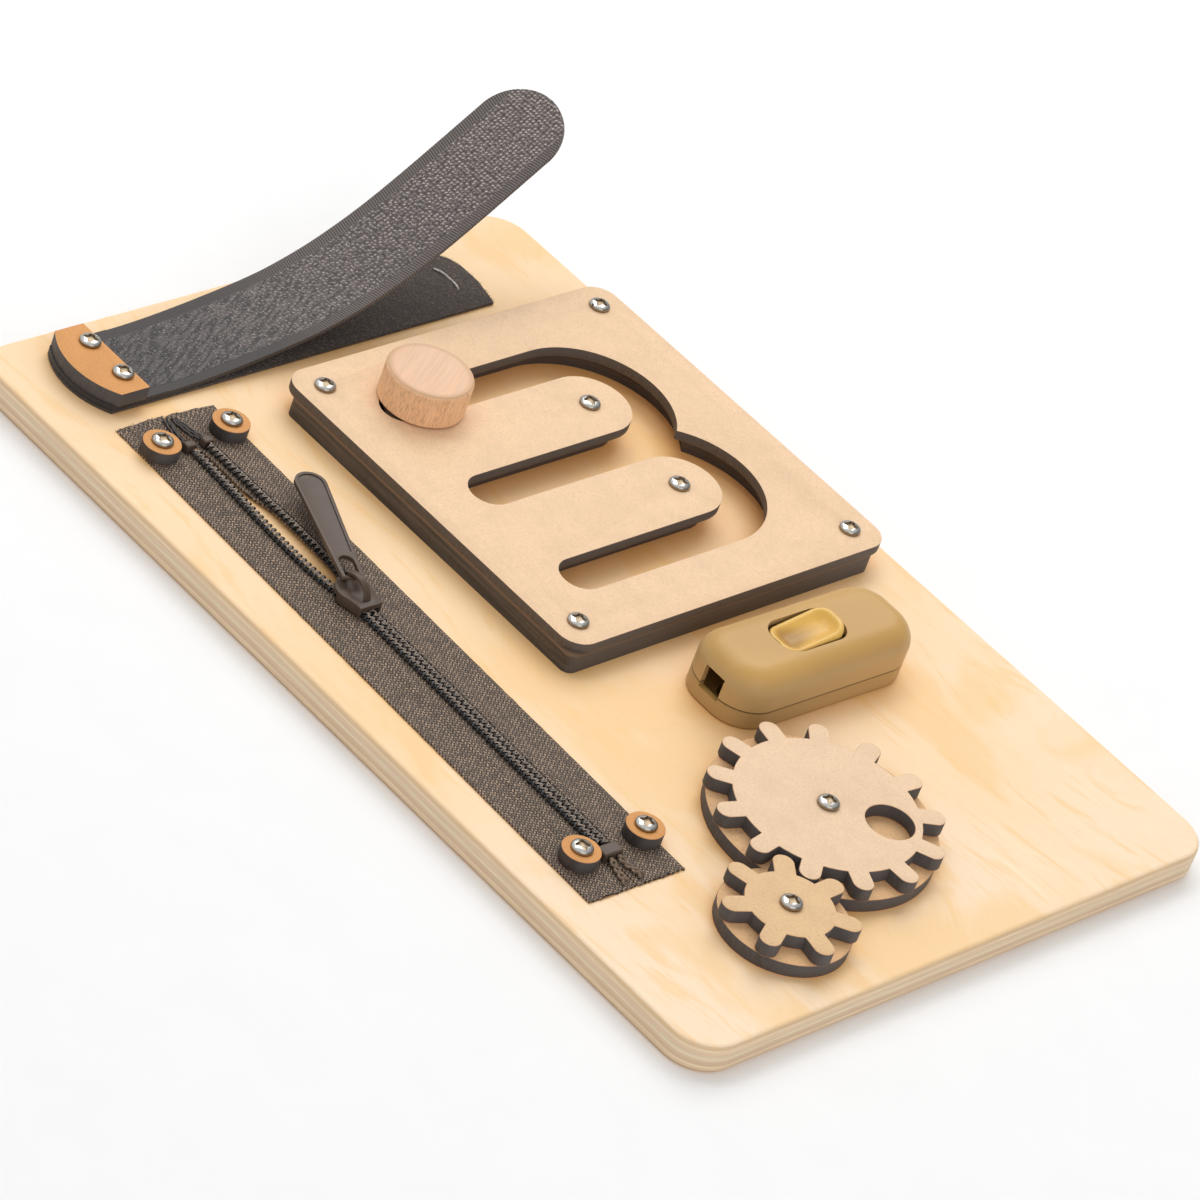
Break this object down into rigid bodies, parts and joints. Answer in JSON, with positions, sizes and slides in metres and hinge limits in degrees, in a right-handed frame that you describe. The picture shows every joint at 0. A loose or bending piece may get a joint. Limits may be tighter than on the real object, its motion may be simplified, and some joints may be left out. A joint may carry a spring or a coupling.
{
  "type": "wooden busy board",
  "caption": "Rectangular wooden activity panel with a knob maze, zipper, hook-and-loop strap, rocker switch and meshing gears.",
  "frame": {"origin": "centre of the panel's underside", "axes": "+X along the long side from the strap towards the gears, +Y across the panel from the zipper to the far side, +Z out of the face that is played with"},
  "size_m": [0.3, 0.2, 0.0686],
  "materials": {
    "birch_ply": "smooth sanded, unvarnished",
    "fibreboard": "fine fibreboard, laser-browned edges",
    "charred_fibreboard": "laser-charred edges",
    "orange_fibreboard": "fine fibreboard, laser-charred edges",
    "beech": "turned and sanded",
    "bright_steel": "bright zinc",
    "gunmetal": "satin",
    "brass": "plain",
    "gold_plastic": "satin moulded",
    "rocker_plastic": "glossy moulded",
    "zip_tape": "woven twill",
    "zip_coil": "nylon coil",
    "loop_cloth": "brushed loops",
    "strap_webbing": "woven back of a hook tape"
  },
  "bodies": {
    "board": {"base_board": "birch_ply", "maze_plate": "fibreboard", "maze_spacer_left": "charred_fibreboard", "maze_spacer_right": "charred_fibreboard", "maze_screws": "bright_steel", "gear_base": "fibreboard", "gear_screws": "bright_steel", "switch_lower_shell": "gold_plastic", "switch_upper_shell": "gold_plastic", "switch_screws": "bright_steel", "switch_terminals": "brass", "zip_tape_near": "zip_tape", "zip_tape_far": "zip_tape", "zip_coil_near": "zip_coil", "zip_coil_far": "zip_coil", "zip_top_stops": "gunmetal", "zip_bottom_stop": "gunmetal", "zip_washers": "orange_fibreboard", "zip_screws": "bright_steel", "loop_strip": "loop_cloth", "strap_bar": "orange_fibreboard", "strap_bar_screws": "bright_steel", "strap_root": "strap_webbing"},
    "knob_carriage": {"knob_guide": "fibreboard"},
    "knob": {"knob_cap": "beech", "knob_screw": "bright_steel"},
    "big_gear": {"big_gear": "fibreboard"},
    "small_gear": {"small_gear": "fibreboard"},
    "rocker": {"rocker": "rocker_plastic", "rocker_axle": "bright_steel", "rocker_contact": "brass"},
    "slider": {"zip_slider": "gunmetal"},
    "pull_tab": {"pull_tab": "gunmetal"},
    "strap_1": {"strap_1": "strap_webbing"},
    "strap_2": {"strap_2": "strap_webbing"},
    "strap_3": {"strap_3": "strap_webbing"},
    "strap_4": {"strap_4": "strap_webbing"},
    "strap_5": {"strap_5": "strap_webbing"}
  },
  "joints": [
    {"name": "knob_slide", "type": "slide", "parent": "board", "child": "knob_carriage", "axis": [0, 1, 0], "range_m": [-0.007, 0.0485]},
    {"name": "knob_spin", "type": "hinge", "parent": "knob_carriage", "child": "knob", "pos_m": [-0.078, 0.0005, 0.018], "axis": [0, 0, 1], "continuous": true},
    {"name": "big_gear_spin", "type": "hinge", "parent": "board", "child": "big_gear", "pos_m": [0.0974, -0.0068, 0.0154], "axis": [0, 0, 1], "continuous": true},
    {"name": "small_gear_spin", "type": "hinge", "parent": "board", "child": "small_gear", "pos_m": [0.12245, -0.04538, 0.0154], "axis": [0, 0, 1], "continuous": true},
    {"name": "rocker_tilt", "type": "hinge", "parent": "board", "child": "rocker", "pos_m": [0.04776, 0.03, 0.022], "axis": [0.9997, -0.0227, 0], "range_deg": [-16, 0]},
    {"name": "zip_slide", "type": "slide", "parent": "board", "child": "slider", "axis": [0.9997, -0.0244, 0], "range_m": [-0.055, 0.0905], "deforming": ["zip_tape_near", "zip_tape_far", "zip_coil_near", "zip_coil_far"]},
    {"name": "pull_tab_flip", "type": "hinge", "parent": "slider", "child": "pull_tab", "pos_m": [-0.02679, -0.06849, 0.0161], "axis": [0.3971, 0.9178, 0], "range_deg": [0, 110]},
    {"name": "strap_peel", "type": "hinge", "parent": "board", "child": "strap_1", "pos_m": [-0.1278, -0.048, 0.011], "axis": [1, 0, 0], "range_deg": [-7.5, 18]},
    {"name": "strap_peel_2", "type": "hinge", "parent": "strap_1", "child": "strap_2", "pos_m": [-0.1278, -0.01201, 0.01574], "axis": [1, 0, 0], "range_deg": [-11, 21.5]},
    {"name": "strap_peel_3", "type": "hinge", "parent": "strap_2", "child": "strap_3", "pos_m": [-0.1278, 0.00296, 0.01975], "axis": [1, 0, 0], "range_deg": [-11, 21.5]},
    {"name": "strap_peel_4", "type": "hinge", "parent": "strap_3", "child": "strap_4", "pos_m": [-0.1278, 0.017, 0.02557], "axis": [1, 0, 0], "range_deg": [-11, 21.5]},
    {"name": "strap_peel_5", "type": "hinge", "parent": "strap_4", "child": "strap_5", "pos_m": [-0.1278, 0.03398, 0.03537], "axis": [1, 0, 0], "range_deg": [-11, 21.5]}
  ],
  "couplings": [
    {"joint": "small_gear_spin", "follows": "big_gear_spin", "ratio": -1.8571},
    {"joint": "strap_peel_2", "follows": "strap_peel", "ratio": 1},
    {"joint": "strap_peel_3", "follows": "strap_peel", "ratio": 1},
    {"joint": "strap_peel_4", "follows": "strap_peel", "ratio": 1},
    {"joint": "strap_peel_5", "follows": "strap_peel", "ratio": 1}
  ]
}
